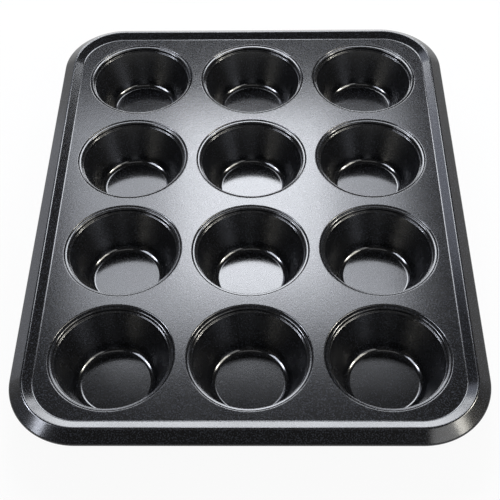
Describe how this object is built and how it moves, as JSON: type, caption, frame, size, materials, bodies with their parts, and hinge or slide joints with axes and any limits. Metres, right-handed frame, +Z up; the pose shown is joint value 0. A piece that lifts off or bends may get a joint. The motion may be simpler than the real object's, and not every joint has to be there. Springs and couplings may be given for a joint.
{
  "type": "muffin tin",
  "caption": "Dark non-stick steel muffin tin: a ribbed deck with a wire-rolled rim carries rows of separately drawn, seamed round cups.",
  "frame": {"origin": "on the table under the middle of the pan, at the level of the cup bottoms it rests on", "axes": "+X across the three columns of cups, +Y along the four rows towards the far end, +Z up out of the cups"},
  "size_m": [0.2714, 0.3498, 0.0311],
  "materials": {
    "coated_deck": "black non-stick coating with a fine speckle, semi-gloss, on steel sheet",
    "coated_cup": "black non-stick coating, semi-gloss, on drawn steel sheet",
    "rim_wire": "bright drawn steel wire"
  },
  "bodies": {
    "root": {"deck": "coated_deck", "rim_wire": "rim_wire", "cup_row1_left": "coated_cup", "cup_row1_middle": "coated_cup", "cup_row1_right": "coated_cup", "cup_row2_left": "coated_cup", "cup_row2_middle": "coated_cup", "cup_row2_right": "coated_cup", "cup_row3_left": "coated_cup", "cup_row3_middle": "coated_cup", "cup_row3_right": "coated_cup", "cup_row4_left": "coated_cup", "cup_row4_middle": "coated_cup", "cup_row4_right": "coated_cup"}
  },
  "joints": []
}
